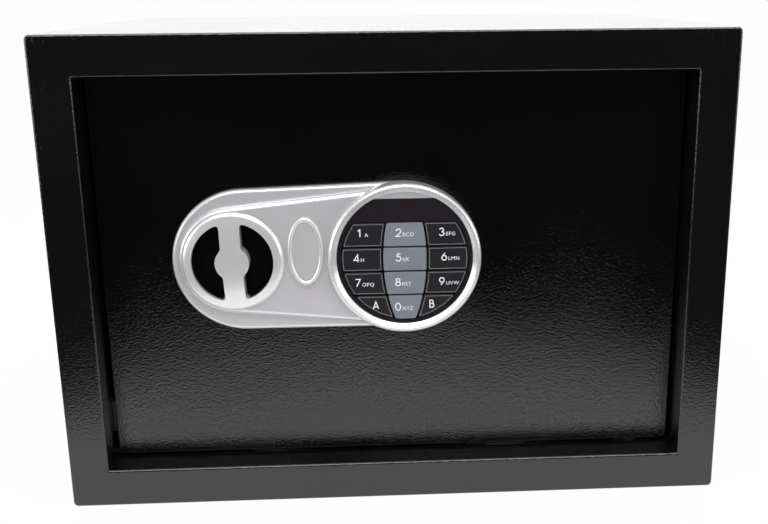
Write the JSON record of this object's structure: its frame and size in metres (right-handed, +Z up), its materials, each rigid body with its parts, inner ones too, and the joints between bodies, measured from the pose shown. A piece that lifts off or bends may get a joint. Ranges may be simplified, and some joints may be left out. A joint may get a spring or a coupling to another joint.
{
  "type": "digital home safe",
  "caption": "Small steel safe with a recessed hinged door, a turning knob, a covered override lock and a round electronic keypad.",
  "frame": {"origin": "centre of the cabinet's underside", "axes": "+X to the right seen from the front, +Y from the front to the back, +Z up"},
  "size_m": [0.35, 0.25, 0.25],
  "materials": {
    "black_coat": "pebbled gloss powder coat",
    "silver_plate": "satin silver paint",
    "keypad_black": "gloss",
    "dish_black": "matt",
    "key_black": "satin",
    "key_grey": "satin",
    "zinc_steel": "zinc plated",
    "bright_steel": "polished plate",
    "fastener_steel": "zinc plated",
    "washer_brass": "plain",
    "black_rubber": "matt",
    "red_lead": "smooth",
    "carpet": "needle felt",
    "liner_coat": "fine texture coat",
    "inner_plastic": "satin moulding",
    "reset_red": "gloss",
    "board_green": "solder mask",
    "light_lens": "dark lens",
    "coil_tape": "amber tape",
    "battery_wrap": "printed sleeve, plain",
    "contact_nickel": "nickel plated"
  },
  "bodies": {
    "cabinet": {"body_wrap": "black_coat", "front_frame": "black_coat", "rear_panel": "black_coat", "floor_mat": "carpet", "strike_plate": "zinc_steel", "door_stops": "zinc_steel", "door_buffers": "black_rubber", "hinge_brackets": "zinc_steel", "hinge_washers": "washer_brass"},
    "door": {"door_plate": "black_coat", "hinge_blocks": "zinc_steel", "hinge_pins": "bright_steel", "lock_plate": "silver_plate", "door_nuts": "fastener_steel", "keypad_bezel": "silver_plate", "keypad_face": "keypad_black", "circuit_board": "board_green", "status_lights": "light_lens", "keypad_mat": "black_rubber", "override_lock_body": "bright_steel", "bolt_guide": "zinc_steel", "carriage_posts": "zinc_steel", "solenoid_frame": "zinc_steel", "solenoid_coil": "coil_tape", "plunger_spring": "zinc_steel", "door_liner": "liner_coat", "liner_screws": "fastener_steel", "battery_tray": "inner_plastic", "batteries": "battery_wrap", "battery_contacts": "contact_nickel", "reset_switch": "inner_plastic", "lead_grommet": "black_rubber", "keypad_lead": "black_rubber", "solenoid_lead": "red_lead"},
    "knob": {"knob_grip": "silver_plate", "knob_dish": "dish_black", "knob_spindle": "bright_steel", "crank_arm": "zinc_steel"},
    "bolts": {"bolt_carriage": "zinc_steel", "live_bolts": "bright_steel", "bolt_screws": "fastener_steel"},
    "plunger": {"solenoid_plunger": "bright_steel", "release_arm": "zinc_steel"},
    "override": {"lock_plug": "bright_steel", "lock_cam": "zinc_steel"},
    "cap": {"override_cap": "silver_plate"},
    "battery_door": {"battery_cover": "inner_plastic"},
    "reset": {"reset_button": "reset_red"},
    "key_1": {"key_1": "key_black"},
    "key_2": {"key_2": "key_grey"},
    "key_3": {"key_3": "key_black"},
    "key_4": {"key_4": "key_black"},
    "key_5": {"key_5": "key_grey"},
    "key_6": {"key_6": "key_black"},
    "key_7": {"key_7": "key_black"},
    "key_8": {"key_8": "key_grey"},
    "key_9": {"key_9": "key_black"},
    "key_a": {"key_a": "key_black"},
    "key_0": {"key_0": "key_grey"},
    "key_b": {"key_b": "key_black"}
  },
  "joints": [
    {"name": "door_swing", "type": "hinge", "parent": "cabinet", "child": "door", "pos_m": [0.1328, -0.1004, 0.125], "axis": [0, 0, 1], "range_deg": [0, 105]},
    {"name": "knob_turn", "type": "hinge", "parent": "door", "child": "knob", "pos_m": [-0.0833, -0.11, 0.133], "axis": [0, 1, 0], "range_deg": [-90.01, 0]},
    {"name": "bolt_slide", "type": "slide", "parent": "door", "child": "bolts", "axis": [1, 0, 0], "range_m": [-0.01485, 0]},
    {"name": "plunger_drop", "type": "slide", "parent": "door", "child": "plunger", "axis": [0, 0, 1], "range_m": [-0.005, 0], "stiffness_N_per_m": 100, "springref_m": -0.012, "deforming": ["plunger_spring"]},
    {"name": "override_turn", "type": "hinge", "parent": "door", "child": "override", "pos_m": [-0.0455, -0.1, 0.1378], "axis": [0, 1, 0], "range_deg": [0, 90]},
    {"name": "cap_pull", "type": "slide", "parent": "door", "child": "cap", "axis": [0, -1, 0], "range_m": [0, 0.025]},
    {"name": "battery_cover_pull", "type": "slide", "parent": "door", "child": "battery_door", "axis": [0, 1, 0], "range_m": [0, 0.02]},
    {"name": "reset_press", "type": "slide", "parent": "door", "child": "reset", "axis": [0, -1, 0], "range_m": [0, 0.0012], "stiffness_N_per_m": 400},
    {"name": "key_1_press", "type": "slide", "parent": "door", "child": "key_1", "axis": [0, 1, 0], "range_m": [0, 0.0005], "stiffness_N_per_m": 1500},
    {"name": "key_2_press", "type": "slide", "parent": "door", "child": "key_2", "axis": [0, 1, 0], "range_m": [0, 0.0005], "stiffness_N_per_m": 1500},
    {"name": "key_3_press", "type": "slide", "parent": "door", "child": "key_3", "axis": [0, 1, 0], "range_m": [0, 0.0005], "stiffness_N_per_m": 1500},
    {"name": "key_4_press", "type": "slide", "parent": "door", "child": "key_4", "axis": [0, 1, 0], "range_m": [0, 0.0005], "stiffness_N_per_m": 1500},
    {"name": "key_5_press", "type": "slide", "parent": "door", "child": "key_5", "axis": [0, 1, 0], "range_m": [0, 0.0005], "stiffness_N_per_m": 1500},
    {"name": "key_6_press", "type": "slide", "parent": "door", "child": "key_6", "axis": [0, 1, 0], "range_m": [0, 0.0005], "stiffness_N_per_m": 1500},
    {"name": "key_7_press", "type": "slide", "parent": "door", "child": "key_7", "axis": [0, 1, 0], "range_m": [0, 0.0005], "stiffness_N_per_m": 1500},
    {"name": "key_8_press", "type": "slide", "parent": "door", "child": "key_8", "axis": [0, 1, 0], "range_m": [0, 0.0005], "stiffness_N_per_m": 1500},
    {"name": "key_9_press", "type": "slide", "parent": "door", "child": "key_9", "axis": [0, 1, 0], "range_m": [0, 0.0005], "stiffness_N_per_m": 1500},
    {"name": "key_a_press", "type": "slide", "parent": "door", "child": "key_a", "axis": [0, 1, 0], "range_m": [0, 0.0005], "stiffness_N_per_m": 1500},
    {"name": "key_0_press", "type": "slide", "parent": "door", "child": "key_0", "axis": [0, 1, 0], "range_m": [0, 0.0005], "stiffness_N_per_m": 1500},
    {"name": "key_b_press", "type": "slide", "parent": "door", "child": "key_b", "axis": [0, 1, 0], "range_m": [0, 0.0005], "stiffness_N_per_m": 1500}
  ],
  "couplings": [
    {"joint": "knob_turn", "follows": "bolt_slide", "rad_per_m": 105.78}
  ]
}
